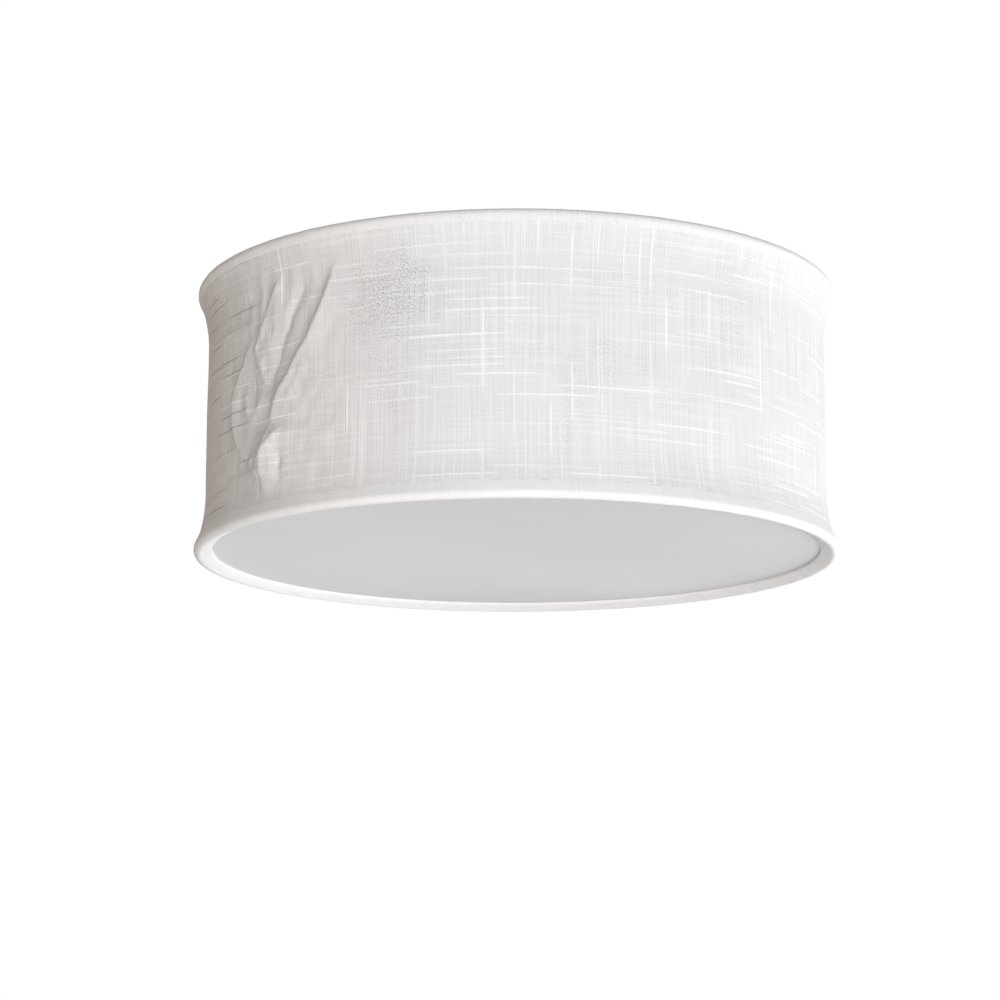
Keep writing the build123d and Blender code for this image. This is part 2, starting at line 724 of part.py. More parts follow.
for number, angle in enumerate(LAMP_ANGLES, 1):
    save(f"strut_{number}", *around(make_strut(), [angle]))
    save(f"holder_bracket_{number}", *around(make_bracket(), [angle]))
    for name, make in (
        (f"lampholder_cap_{number}", make_holder_cap),
        (f"lampholder_skirt_{number}", make_holder_skirt),
        (f"lampholder_shell_{number}", make_shell),
        (f"lamp_{number}_contact", make_lamp_contact),
        (f"lamp_{number}_cap", make_lamp_cap),
        (f"lamp_{number}_body", make_lamp_body),
        (f"lamp_{number}_globe", make_lamp_globe),
    ):
        save(name, *around(make(), [angle], -lamp_drop))
for number, angle in enumerate(ARM_ANGLES, 1):
    save(f"shade_lug_{number}", *around(make_lug(), [angle]))
    save(f"shade_arm_{number}", *around(make_arm(), [angle]))
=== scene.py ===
# %% [markdown]
# # A flush mount ceiling light with a linen drum shade
# The CAD model gives every rigid piece its true size and place. This script dresses it: it stretches
# the cloth over the wire rings, gives each material its grain, weave or gloss, adds the lamp caps'
# threads, and sets up the studio in which the light was photographed.

import bpy
import json
from math import acos, atan2, cos, degrees, exp, hypot, pi, radians, sin
from mathutils import Matrix, Vector, noise


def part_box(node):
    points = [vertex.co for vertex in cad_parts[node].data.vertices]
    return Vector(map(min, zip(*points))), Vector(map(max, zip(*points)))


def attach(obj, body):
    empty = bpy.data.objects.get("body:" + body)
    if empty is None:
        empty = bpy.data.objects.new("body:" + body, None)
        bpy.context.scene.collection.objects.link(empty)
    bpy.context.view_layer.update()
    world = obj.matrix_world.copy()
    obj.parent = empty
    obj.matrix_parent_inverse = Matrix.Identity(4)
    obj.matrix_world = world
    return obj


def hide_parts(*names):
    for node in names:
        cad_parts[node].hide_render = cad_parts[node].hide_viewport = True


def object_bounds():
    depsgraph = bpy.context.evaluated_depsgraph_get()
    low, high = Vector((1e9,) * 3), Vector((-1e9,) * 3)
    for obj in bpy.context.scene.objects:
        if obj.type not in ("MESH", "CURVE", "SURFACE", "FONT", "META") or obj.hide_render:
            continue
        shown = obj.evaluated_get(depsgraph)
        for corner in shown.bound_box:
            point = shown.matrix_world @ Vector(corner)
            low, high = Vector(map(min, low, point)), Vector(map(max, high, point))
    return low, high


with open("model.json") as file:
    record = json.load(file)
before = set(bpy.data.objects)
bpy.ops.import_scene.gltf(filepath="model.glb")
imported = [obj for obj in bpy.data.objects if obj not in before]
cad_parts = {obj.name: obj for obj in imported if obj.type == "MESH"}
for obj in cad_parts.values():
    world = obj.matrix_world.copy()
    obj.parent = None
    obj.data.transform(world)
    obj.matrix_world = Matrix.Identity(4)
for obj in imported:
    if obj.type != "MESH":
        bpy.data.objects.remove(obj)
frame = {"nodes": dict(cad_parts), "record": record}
nodes = frame["nodes"]
cad_low, cad_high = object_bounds()
print("the light measures", [round(1000 * side, 1) for side in cad_high - cad_low], "mm")

# %% [markdown]
# ## The camera
# The light hangs on the ceiling, and the photographer stood about two metres away, below it. A long lens
# keeps the rings' ellipses flat. Its height and tilt were found from how far the near and the far side
# of each ring lie apart in the picture.

# %% Camera
camera_distance = 2.068
camera_drop = 0.564  # below the ceiling
camera_tilt = 11.412  # degrees, upwards
camera_turn = 0.315
camera_data = bpy.data.cameras.new("studio_camera")
camera_data.lens = 108
camera_data.sensor_width = 36
camera = bpy.data.objects.new("studio_camera", camera_data)
camera.location = (0, -camera_distance, -camera_drop)
camera.rotation_euler = (radians(90 + camera_tilt), 0, radians(camera_turn))
bpy.context.scene.collection.objects.link(camera)
bpy.context.scene.camera = camera

# %% [markdown]
# ## The studio
# The picture has a pure white background and soft light. The world looks white only to the camera and
# in reflections, through the Light Path node, and it lights the object at a lower level, so that white
# cloth doesn't burn out. A pale floor far below throws a little light up onto the diffuser.

# %% World
fill_level = 0.242
world = bpy.data.worlds.new("white_studio")
bpy.context.scene.world = world
world.use_nodes = True
world_tree = world.node_tree
world_tree.nodes.clear()
light_path = world_tree.nodes.new("ShaderNodeLightPath")
seen = world_tree.nodes.new("ShaderNodeMath")
seen.operation = "MAXIMUM"
seen_too = world_tree.nodes.new("ShaderNodeMath")
seen_too.operation = "MAXIMUM"
world_tree.links.new(light_path.outputs["Is Camera Ray"], seen.inputs[0])
world_tree.links.new(light_path.outputs["Is Glossy Ray"], seen.inputs[1])
world_tree.links.new(seen.outputs[0], seen_too.inputs[0])
world_tree.links.new(light_path.outputs["Is Transmission Ray"], seen_too.inputs[1])
fill = world_tree.nodes.new("ShaderNodeBackground")
fill.inputs["Color"].default_value = (1.0, 0.988, 0.974, 1)
fill.inputs["Strength"].default_value = fill_level
white = world_tree.nodes.new("ShaderNodeBackground")
white.inputs["Color"].default_value = (1, 1, 1, 1)
either = world_tree.nodes.new("ShaderNodeMixShader")
world_out = world_tree.nodes.new("ShaderNodeOutputWorld")
world_tree.links.new(seen_too.outputs[0], either.inputs[0])
world_tree.links.new(fill.outputs[0], either.inputs[1])
world_tree.links.new(white.outputs[0], either.inputs[2])
world_tree.links.new(either.outputs[0], world_out.inputs[0])

# %% Soft boxes
# One large soft box stands in front and lights the cloth evenly. A second stands behind on the right and
# keeps the right edge bright, while the left side falls off into grey, with a weak, warmer box of its
# own. These stand a little low, so that they reach the diffuser too. A weak one from above stands for
# what a ceiling throws back.
shade_centre = (cad_low + cad_high) / 2
soft_box_distance = 2.6


def soft_box(name, turn, rise, power, colour=(1, 1, 1)):
    """A soft box aimed at the shade. Turn is by degrees to the right of the camera."""
    data = bpy.data.lights.new(name, "AREA")
    data.shape = "RECTANGLE"
    data.size = 1.8
    data.size_y = 1.5
    data.energy = power
    data.color = colour
    box = bpy.data.objects.new(name, data)
    side, up = radians(turn), radians(rise)
    way = Vector((sin(side) * cos(up), -cos(side) * cos(up), sin(up)))
    box.location = shade_centre + soft_box_distance * way
    box.rotation_euler = way.to_track_quat("Z", "Y").to_euler()
    bpy.context.scene.collection.objects.link(box)


soft_box("front_soft_box", 15, -20, 59)
soft_box("right_soft_box", 118, -12, 62, (0.98, 0.985, 1.0))
soft_box("left_soft_box", -80, -8, 9, (1.0, 0.70, 0.46))
soft_box("ceiling_bounce", 0, 72, 8)

# %% Floor
floor_drop = 2.4
bpy.ops.object.select_all(action="DESELECT")
bpy.ops.mesh.primitive_plane_add(size=9, location=(0, 0, -floor_drop))
floor = bpy.context.object
floor.name = "studio_floor"

# %% Colour handling
bpy.context.scene.view_settings.view_transform = "Standard"

# %% [markdown]
# ## Helpers for node trees
# A material is a small network. These helpers make one Math node or one colour mix at a time, so that a
# recipe further down reads almost like a formula.


# %% Node helpers
def put(tree, socket, value):
    """Links a node's output to a socket, or writes a plain value on it."""
    if isinstance(value, bpy.types.NodeSocket):
        tree.links.new(value, socket)
    else:
        socket.default_value = value


def calc(tree, operation, *values):
    made = tree.nodes.new("ShaderNodeMath")
    made.operation = operation
    for socket, value in zip(made.inputs, values):
        put(tree, socket, value)
    return made.outputs[0]


def vector(tree, x, y, z=0.0):
    made = tree.nodes.new("ShaderNodeCombineXYZ")
    for socket, value in zip(made.inputs, (x, y, z)):
        put(tree, socket, value)
    return made.outputs[0]


def split(tree, source):
    made = tree.nodes.new("ShaderNodeSeparateXYZ")
    put(tree, made.inputs[0], source)
    return made.outputs


def grain(tree, place, scale=1.0, detail=1.0, roughness=0.5):
    """Soft noise from 0 to 1 at a place."""
    made = tree.nodes.new("ShaderNodeTexNoise")
    put(tree, made.inputs["Vector"], place)
    made.inputs["Scale"].default_value = scale
    made.inputs["Detail"].default_value = detail
    made.inputs["Roughness"].default_value = roughness
    return made.outputs["Fac"]


def chance(tree, place):
    """A random number from 0 to 1 for each whole-numbered place."""
    made = tree.nodes.new("ShaderNodeTexWhiteNoise")
    made.noise_dimensions = "3D"
    put(tree, made.inputs["Vector"], place)
    return made.outputs["Value"]


def ramp(tree, value, low, high, to_low=0.0, to_high=1.0, smooth=True):
    made = tree.nodes.new("ShaderNodeMapRange")
    made.interpolation_type = "SMOOTHSTEP" if smooth else "LINEAR"
    for name, number in (
        ("Value", value), ("From Min", low), ("From Max", high), ("To Min", to_low), ("To Max", to_high)
    ):
        put(tree, made.inputs[name], number)
    return made.outputs["Result"]


def mix_colour(tree, share, first, second):
    made = tree.nodes.new("ShaderNodeMix")
    made.data_type = "RGBA"
    put(tree, made.inputs[0], share)
    for socket, value in ((made.inputs[6], first), (made.inputs[7], second)):
        put(tree, socket, value if isinstance(value, bpy.types.NodeSocket) else (*value, 1))
    return made.outputs[2]


def new_group(name, inputs, outputs):
    """A node group with float or vector inputs and float outputs, and its two end nodes."""
    group = bpy.data.node_groups.new(name, "ShaderNodeTree")
    for label, value in inputs.items():
        kind = "NodeSocketVector" if value is None else "NodeSocketFloat"
        socket = group.interface.new_socket(name=label, in_out="INPUT", socket_type=kind)
        if value is not None:
            socket.default_value = value
    for label in outputs:
        group.interface.new_socket(name=label, in_out="OUTPUT", socket_type="NodeSocketFloat")
    given = group.nodes.new("NodeGroupInput").outputs
    result = group.nodes.new("NodeGroupOutput").inputs
    return group, given, result


def use_group(tree, group, **values):
    made = tree.nodes.new("ShaderNodeGroup")
    made.node_tree = group
    for label, value in values.items():
        put(tree, made.inputs[label.replace("_", " ")], value)
    return made.outputs


# %% [markdown]
# ## Linen, one slub at a time
# Linen thread is spun unevenly. Thick soft places, the slubs, come as short bright dashes along single
# threads, in both directions of the weave. The cloth could get a picture of real linen, but a procedural
# weave stays sharp at any distance. This group draws the dashes along one direction: the cloth is ruled
# into rows, each row into lengths, and a random number decides whether a length holds a slub.

# %% Group: slubs along one direction
slub_group, given, result = new_group(
    "slubs_along_threads",
    {
        "Along": 0.0, "Across": 0.0, "Row": 0.004, "Length": 0.05,
        "Width": 0.0012, "Share": 0.3, "Seed": 0.0,
    },
    ["Mask"],
)
t = slub_group
thread_noise = grain(t, vector(t, given["Along"], given["Seed"]), 28)
waver = calc(t, "MULTIPLY_ADD", thread_noise, 0.0009, given["Across"])
rows = calc(t, "DIVIDE", waver, given["Row"])
row = calc(t, "FLOOR", rows)
row_chance = chance(t, vector(t, row, given["Seed"]))
middle = calc(t, "MULTIPLY_ADD", row_chance, 0.6, 0.2)
from_middle = calc(t, "ABSOLUTE", calc(t, "SUBTRACT", calc(t, "FRACT", rows), middle))
from_middle = calc(t, "MULTIPLY", from_middle, given["Row"])
lengths = calc(t, "MULTIPLY_ADD", row_chance, 37.0, calc(t, "DIVIDE", given["Along"], given["Length"]))
length = calc(t, "FLOOR", lengths)
slub_chance = chance(t, vector(t, row, length, given["Seed"]))
here = calc(t, "LESS_THAN", slub_chance, given["Share"])
strength = calc(t, "SUBTRACT", 1.0, calc(t, "DIVIDE", slub_chance, given["Share"]))
strength = calc(t, "MULTIPLY_ADD", strength, 0.75, 0.25)
half_width = calc(t, "MULTIPLY", given["Width"], 0.5)
body = ramp(t, from_middle, half_width, calc(t, "MULTIPLY", half_width, 0.2))
off_centre = calc(t, "ABSOLUTE", calc(t, "SUBTRACT", calc(t, "FRACT", lengths), 0.5))
reach = calc(t, "MULTIPLY_ADD", chance(t, vector(t, length, row, 7.0)), 0.28, 0.2)
ends = ramp(t, off_centre, reach, calc(t, "MULTIPLY", reach, 0.45))
mask = calc(t, "MULTIPLY", calc(t, "MULTIPLY", body, ends), calc(t, "MULTIPLY", here, strength))
put(t, result["Mask"], mask)

# %% [markdown]
# ## The weave
# The second group joins everything that the linen shows. Warp and weft threads pass over and under each
# other, so the height is taken from one set or the other in turn, like a chessboard. Faint streaks come
# from threads of uneven thickness, and in some patches the weave opens and dark specks show between
# the threads. The group gives out a tone for the colour and a height for the relief.

# %% Group: linen weave
linen_group, given, result = new_group(
    "linen_weave",
    {"Cloth Place": None, "Thread": 0.0008, "Slubs": 1.0, "Open Patches": 0.0, "Strain": 0.0},
    ["Tone", "Height"],
)
t = linen_group
place = split(t, given["Cloth Place"])
drift = grain(t, given["Cloth Place"], 9, 2)
u = calc(t, "MULTIPLY_ADD", drift, 0.0015, place[0])
v = calc(t, "MULTIPLY_ADD", drift, 0.0015, place[1])
warp_turn = calc(t, "DIVIDE", u, given["Thread"])
weft_turn = calc(t, "DIVIDE", v, given["Thread"])
warp_round = calc(t, "ABSOLUTE", calc(t, "SINE", calc(t, "MULTIPLY", warp_turn, pi)))
weft_round = calc(t, "ABSOLUTE", calc(t, "SINE", calc(t, "MULTIPLY", weft_turn, pi)))
square = calc(t, "ADD", calc(t, "FLOOR", warp_turn), calc(t, "FLOOR", weft_turn))
over = calc(t, "FLOORED_MODULO", square, 2.0)
warp_part = calc(t, "MULTIPLY", warp_round, over)
weft_part = calc(t, "MULTIPLY", weft_round, calc(t, "SUBTRACT", 1.0, over))
threads = calc(t, "ADD", warp_part, weft_part)

# Streaks: fine upright ones, broad upright ones and fine level ones
fine = grain(t, vector(t, calc(t, "MULTIPLY", u, 1050.0), calc(t, "MULTIPLY", v, 13.0)), 1, 0)
fine = calc(t, "SUBTRACT", ramp(t, fine, 0.3, 0.7), 0.5)
broad = grain(t, vector(t, calc(t, "MULTIPLY", u, 240.0), calc(t, "MULTIPLY", v, 8.0), 2.0), 1, 1)
level = grain(t, vector(t, calc(t, "MULTIPLY", u, 13.0), calc(t, "MULTIPLY", v, 800.0), 5.0), 1, 0)
level = calc(t, "SUBTRACT", ramp(t, level, 0.3, 0.7), 0.5)
fine_share = ramp(t, grain(t, given["Cloth Place"], 21, 1), 0.35, 0.62, 0.08, 0.18)
level_share = ramp(t, grain(t, vector(t, v, u, 4.0), 25, 1), 0.40, 0.65, 0.02, 0.11)
streaks = calc(t, "MULTIPLY_ADD", fine, fine_share, calc(t, "MULTIPLY", level, level_share))
streaks = calc(t, "MULTIPLY_ADD", calc(t, "SUBTRACT", broad, 0.5), 0.08, streaks)

# Slubs lie in clusters, and long thin ones, hairs, lie all over
cluster = ramp(t, grain(t, vector(t, u, v, 6.0), 10, 1), 0.36, 0.62, 0.14, 0.66)
upright_slubs = use_group(
    t, slub_group, Along=v, Across=u, Row=0.0115, Length=0.085, Width=0.0021, Share=0.40, Seed=3.0
)["Mask"]
level_slubs = use_group(
    t, slub_group, Along=u, Across=v, Row=0.0052, Length=0.10, Width=0.0021, Share=cluster, Seed=11.0
)["Mask"]
upright_hairs = use_group(
    t, slub_group, Along=v, Across=u, Row=0.0064, Length=0.15, Width=0.0013, Share=0.42, Seed=31.0
)["Mask"]
level_hairs = use_group(
    t, slub_group, Along=u, Across=v, Row=0.0034, Length=0.17, Width=0.0013, Share=0.46, Seed=37.0
)["Mask"]
slubs = calc(t, "MAXIMUM", upright_slubs, level_slubs)
hairs = calc(t, "MULTIPLY", calc(t, "MAXIMUM", upright_hairs, level_hairs), 0.6)
slubs = calc(t, "MAXIMUM", slubs, hairs)
slubs = calc(t, "MULTIPLY", slubs, given["Slubs"])

# Specks where the weave opens, and dark level threads where the cloth is strained. These threads are
# partly the real pulled weave and partly painted shade for the thin shadow lines of fine folds.
speck_place = vector(t, calc(t, "MULTIPLY", u, 1150.0), calc(t, "MULTIPLY", v, 760.0), 9.0)
speck_noise = grain(t, speck_place, 1, 1)
specks = ramp(t, speck_noise, 0.50, 0.62)
patches = ramp(t, grain(t, given["Cloth Place"], 17, 2), 0.52, 0.68)
patches = calc(t, "MAXIMUM", calc(t, "MULTIPLY", patches, 0.32), given["Open Patches"])
open_weave = calc(t, "MULTIPLY", specks, patches)
strained_threads_and_fold_shade = use_group(
    t, slub_group, Along=u, Across=v, Row=0.0125, Length=0.085, Width=0.0015, Share=0.85, Seed=23.0
)["Mask"]
strained_threads_and_fold_shade = calc(t, "MULTIPLY", strained_threads_and_fold_shade, given["Strain"])

tone = calc(t, "MULTIPLY_ADD", threads, 0.08, calc(t, "ADD", streaks, 0.575))
tone = calc(t, "MULTIPLY_ADD", slubs, 0.42, tone)
tone = calc(t, "MULTIPLY_ADD", open_weave, -0.8, tone)
tone = calc(t, "MULTIPLY_ADD", strained_threads_and_fold_shade, -1.1, tone)
put(t, result["Tone"], tone)
height = calc(t, "MULTIPLY_ADD", slubs, 1.3, calc(t, "MULTIPLY_ADD", fine, 0.8, threads))
height = calc(t, "MULTIPLY_ADD", strained_threads_and_fold_shade, -2.0, height)
put(t, result["Height"], height)

# %% [markdown]
# ## Sprayed, moulded and plated surfaces
# The rest of the light is painted, moulded or plated. Powder coat flows into a fine orange peel, moulded
# plastic has a light spark-eroded grain, and plated steel shows faint clouds and rubbed lines. One group
# serves all of them: it mixes a fine grain with slow clouds, and each material sets its own sizes.

# %% Group: fine surface
surface_group, given, result = new_group(
    "fine_surface",
    {"Place": None, "Grain Size": 0.001, "Cloud Size": 0.05},
    ["Grain", "Clouds"],
)
t = surface_group
xyz = split(t, given["Place"])


def scaled_place(tree, size):
    return vector(tree, *[calc(tree, "DIVIDE", axis, size) for axis in xyz])


put(t, result["Grain"], grain(t, scaled_place(t, given["Grain Size"]), 1, 2))
put(t, result["Clouds"], grain(t, scaled_place(t, given["Cloud Size"]), 1, 3))


# %% Material helper
def new_material(name):
    """A material with a Principled shader, and its tree and shader."""
    made = bpy.data.materials.new(name)
    made.use_nodes = True
    return made, made.node_tree, made.node_tree.nodes["Principled BSDF"]


def place_on_object(tree):
    return tree.nodes.new("ShaderNodeTexCoord").outputs["Object"]


def relief(tree, shader, height, distance, strength=1.0):
    """A Bump node that gives the shader a fine relief."""
    bump = tree.nodes.new("ShaderNodeBump")
    bump.inputs["Distance"].default_value = distance
    bump.inputs["Strength"].default_value = strength
    put(tree, bump.inputs["Height"], height)
    put(tree, shader.inputs["Normal"], bump.outputs["Normal"])


def surface(name, dark, light, roughness, grain_size=0.001, cloud_size=0.05, metallic=0.0, bump=0.00002):
    """A painted, moulded or plated finish that lies between two colours and two roughnesses."""
    made, tree, shader = new_material(name)
    look = use_group(
        tree, surface_group, Place=place_on_object(tree), Grain_Size=grain_size, Cloud_Size=cloud_size
    )
    colour = mix_colour(tree, ramp(tree, look["Clouds"], 0.3, 0.7), dark, light)
    put(tree, shader.inputs["Base Color"], colour)
    low, high = roughness
    put(tree, shader.inputs["Roughness"], ramp(tree, look["Clouds"], 0.3, 0.7, high, low))
    shader.inputs["Metallic"].default_value = metallic
    relief(tree, shader, look["Grain"], bump)
    return made


# %% [markdown]
# ## The finishes
# Linen and its hems use the weave, and the top hem takes a darker copy of it, which is painted shade.
# The diffuser is a sheet of opal acrylic with a satin face. Everything behind it is plain trade ware:
# white powder coat on the pan and the wire frame, zinc on the brackets and screws, and white plastic
# on the holders and the lamps.

# %% Linen
linen_dark = (0.55, 0.542, 0.545)
linen_light = (0.96, 0.957, 0.963)


def linen_material(name, dark, light, slubs, bump):
    made, tree, shader = new_material(name)
    cloth_place = tree.nodes.new("ShaderNodeUVMap")
    cloth_place.uv_map = "cloth_place"
    marks = []
    # The strain attribute darkens threads, partly as painted shade of the cloth's fine folds.
    for attribute in ("open_weave", "strain"):
        mark = tree.nodes.new("ShaderNodeAttribute")
        mark.attribute_name = attribute
        marks.append(mark.outputs["Fac"])
    place = cloth_place.outputs["UV"]
    look = use_group(
        tree, linen_group, Cloth_Place=place, Slubs=slubs, Open_Patches=marks[0], Strain=marks[1]
    )
    put(tree, shader.inputs["Base Color"], mix_colour(tree, look["Tone"], dark, light))
    shader.inputs["Roughness"].default_value = 0.95
    shader.inputs["Specular IOR Level"].default_value = 0.15
    relief(tree, shader, look["Height"], bump)
    return made


linen = linen_material("slubby_linen", linen_dark, linen_light, 1.0, 0.00012)
hem_linen = linen_material("hem_linen", (0.72, 0.715, 0.715), (0.93, 0.93, 0.93), 0.3, 0.00006)
# The top hem is the same doubled linen as the bottom hem. Its darker copy is painted shade: the roll's
# visible underside faces away from the light.
shaded_top_hem_linen = linen_material("shaded_top_hem_linen", (0.58, 0.575, 0.575), (0.90, 0.90, 0.90), 0.3, 0.00006)

# %% Rigid finishes
finishes = {
    "linen": linen,
    "hem_linen": hem_linen,
    "opal_sheet": surface(
        "opal_acrylic", (0.605, 0.605, 0.61), (0.635, 0.635, 0.64), (0.30, 0.36), 0.004, 0.25
    ),
    "white_frame": surface(
        "frame_powder_coat", (0.80, 0.80, 0.79), (0.86, 0.86, 0.85), (0.38, 0.46), 0.0009, 0.03
    ),
    "white_pan": surface(
        "pan_powder_coat", (0.80, 0.80, 0.79), (0.85, 0.85, 0.84), (0.36, 0.48), 0.0009, 0.08
    ),
    "zinc_steel": surface(
        "zinc_plate", (0.50, 0.52, 0.55), (0.66, 0.67, 0.68), (0.24, 0.4), 0.0006, 0.012, 1.0
    ),
    "magnet_cup": surface(
        "nickel_cup", (0.52, 0.52, 0.51), (0.64, 0.63, 0.61), (0.18, 0.32), 0.0006, 0.008, 1.0
    ),
    "magnet_core": surface(
        "dark_ferrite", (0.025, 0.025, 0.027), (0.05, 0.05, 0.052), (0.5, 0.65), 0.0004, 0.006
    ),
    "white_rubber": surface(
        "soft_rubber", (0.66, 0.66, 0.65), (0.72, 0.72, 0.71), (0.6, 0.75), 0.0006, 0.01
    ),
    "white_nylon": surface(
        "natural_nylon", (0.76, 0.75, 0.70), (0.83, 0.82, 0.78), (0.32, 0.42), 0.0008, 0.01
    ),
    "brass": surface(
        "plain_brass", (0.52, 0.36, 0.13), (0.70, 0.52, 0.22), (0.22, 0.38), 0.0006, 0.01, 1.0
    ),
    "live_insulation": surface(
        "brown_insulation", (0.075, 0.028, 0.012), (0.10, 0.04, 0.018), (0.34, 0.44)
    ),
    "neutral_insulation": surface(
        "blue_insulation", (0.01, 0.07, 0.30), (0.015, 0.09, 0.36), (0.34, 0.44)
    ),
    "holder_plastic": surface(
        "holder_moulding", (0.78, 0.78, 0.75), (0.83, 0.83, 0.80), (0.26, 0.34), 0.0008, 0.03
    ),
    "ceramic": surface("steatite", (0.72, 0.69, 0.60), (0.80, 0.77, 0.69), (0.5, 0.62), 0.0008, 0.01),
    "lamp_cap_metal": surface(
        "nickel_cap", (0.56, 0.56, 0.55), (0.70, 0.70, 0.69), (0.2, 0.34), 0.0006, 0.01, 1.0
    ),
    "lamp_body_plastic": surface(
        "lamp_moulding", (0.80, 0.80, 0.79), (0.85, 0.85, 0.84), (0.34, 0.42), 0.0008, 0.03
    ),
    "lamp_globe_plastic": surface(
        "frosted_globe", (0.84, 0.84, 0.83), (0.88, 0.88, 0.87), (0.4, 0.5), 0.0006, 0.02
    ),
}

# %% [markdown]
# The earth wire is green with a yellow stripe that lies along one side of it. The stripe follows the
# direction in which the surface faces, so it needs no unwrapping.

# %% Earth insulation
earth, tree, shader = new_material("green_yellow_insulation")
facing = split(tree, tree.nodes.new("ShaderNodeTexCoord").outputs["Normal"])
stripe = ramp(tree, calc(tree, "ABSOLUTE", facing[0]), 0.55, 0.62)
put(tree, shader.inputs["Base Color"], mix_colour(tree, stripe, (0.02, 0.22, 0.04), (0.80, 0.62, 0.03)))
shader.inputs["Roughness"].default_value = 0.4
finishes["earth_insulation"] = earth

# %% [markdown]
# Every CAD piece takes the finish that the record names for it.

# %% Dress the CAD pieces
finish_of = {part["node"]: part["material_slot"] for part in frame["record"]["subparts"]}
for name, piece in nodes.items():
    piece.data.materials.clear()
    piece.data.materials.append(finishes[finish_of[name]])
    piece.data.shade_smooth()
pale_floor = surface("pale_floor", (0.80, 0.80, 0.80), (0.84, 0.84, 0.84), (0.7, 0.8), 0.01, 0.5)
floor.data.materials.append(pale_floor)
print(len(nodes), "CAD pieces dressed in", len(finishes), "finishes")

# %% [markdown]
# ## The cloth
# The linen is one strip, glued over the rings and pulled tight between them. Between the rings it draws
# in, so the drum has a faint waist. I lay it as a grid of points round the shade: each point knows how
# far round and how far up it lies, which also gives the cloth's own map for the weave.

# %% Sizes read from the frame
ring_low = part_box("bottom_ring")[0]
top_low, top_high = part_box("top_ring")
wire_radius = (top_high.z - top_low.z) / 2
ring_radius = top_high.x - wire_radius
top_ring_z = (top_high.z + top_low.z) / 2
bottom_ring_z = ring_low.z + wire_radius
ring_distance = top_ring_z - bottom_ring_z
cloth_thickness = 0.0005
cloth_gap = 0.00005
cloth_roll = wire_radius + cloth_gap + cloth_thickness
waist_depth = 0.0068
waist_reach = 0.036
leave_angle = 2 * atan2(waist_depth, waist_reach)
draw_radius = (waist_depth**2 + waist_reach**2) / (2 * waist_depth)
wall_radius = ring_radius + cloth_roll * cos(leave_angle) - waist_depth
wall_start = cloth_roll * sin(leave_angle) + waist_reach
print("rings of", round(2000 * ring_radius, 1), "mm,", round(1000 * ring_distance, 1), "mm apart")


# %% The cover's side
def cover_side(height):
    """The radius of the cloth's outside at a height above the bottom ring."""
    from_ring = min(height, ring_distance - height)
    roll_height = cloth_roll * sin(leave_angle)
    if from_ring < roll_height:
        return ring_radius + (cloth_roll**2 - from_ring**2) ** 0.5
    if from_ring < wall_start:
        rise = wall_start - from_ring
        return wall_radius + draw_radius - (draw_radius**2 - rise**2) ** 0.5
    return wall_radius


# %% [markdown]
# Near its left side the cloth has come off the pull a little and creases stand in it. A crease in
# stretched cloth isn't round like a wave: it is pinched to an edge, steep on one side and gentle on the
# other. Each one is a line of a few points, by degrees round the shade and millimetres above the bottom
# ring, with its rise and how far it reaches to either side. The front is at -90 degrees.

# %% Creases
# (points, rise, reach on the left or below, reach on the right or above), in mm
creases = [
    (
        [(-122.8, 158), (-124.6, 139), (-128.2, 113), (-131.4, 97), (-133.8, 86), (-137.0, 67)],
        3.8, 2.6, 15.0,
    ),
    ([(-134.6, 58), (-138.6, 44), (-141.0, 36)], 2.4, 2.2, 9.0),
    ([(-130.0, 150), (-134.5, 118), (-137.5, 92)], -2.3, 4.0, 4.0),
    ([(-135.0, 160), (-137.8, 146), (-142.4, 115), (-140.5, 98), (-137.7, 84)], 2.0, 2.4, 7.0),
    ([(-143.6, 123), (-150.7, 86), (-151.0, 73), (-147.8, 52), (-144.1, 37)], 2.0, 2.2, 7.0),
    ([(-137.5, 56), (-140.7, 45), (-143.4, 38), (-141.7, 30), (-136.9, 29)], 2.0, 2.2, 6.0),
    ([(-134.7, 38), (-134.9, 20)], -2.0, 2.4, 4.0),
    ([(-137.5, 62), (-138.5, 36), (-138.5, 14)], 4.5, 8.0, 32.0),
    ([(-128.5, 100), (-133.5, 72)], 1.0, 2.0, 9.0),
    ([(-156.8, 134), (-148.6, 134), (-141.3, 132)], 0.8, 5.0, 1.4),
    ([(-160.6, 112), (-152.0, 110)], 0.7, 5.0, 1.4),
    ([(-162.1, 103), (-154.7, 104), (-148.5, 104)], 0.7, 5.0, 1.4),
    ([(-152.2, 87), (-144.9, 84), (-137.0, 80)], 0.9, 5.0, 1.4),
    ([(-146.5, 76), (-138.0, 77)], 0.7, 4.0, 1.4),
    ([(-162.8, 41), (-153.3, 38)], 0.7, 4.0, 1.4),
    ([(-152.4, 31), (-146.3, 31), (-140.0, 30)], 0.8, 4.0, 1.4),
    ([(-165.4, 18), (-153.9, 17)], 0.7, 4.0, 1.4),
    ([(-156.0, 165), (-149.5, 165), (-142.3, 161), (-136.6, 158)], 0.8, 4.0, 1.4),
    ([(-154.1, 158), (-142.5, 155)], 0.7, 3.0, 1.4),
    ([(-101.5, 120), (-100.0, 90)], -0.8, 9.0, 9.0),
    ([(-112.7, 73), (-111.0, 42)], -0.8, 9.0, 9.0),
    ([(-15.6, 119), (-17.4, 61)], 1.2, 5.0, 3.0),
    ([(-12.5, 125), (-11.5, 100), (-9.5, 84)], 1.0, 5.0, 2.2),
]
crest_roundness = 0.7  # mm
mm_per_degree = radians(1) * ring_radius * 1000


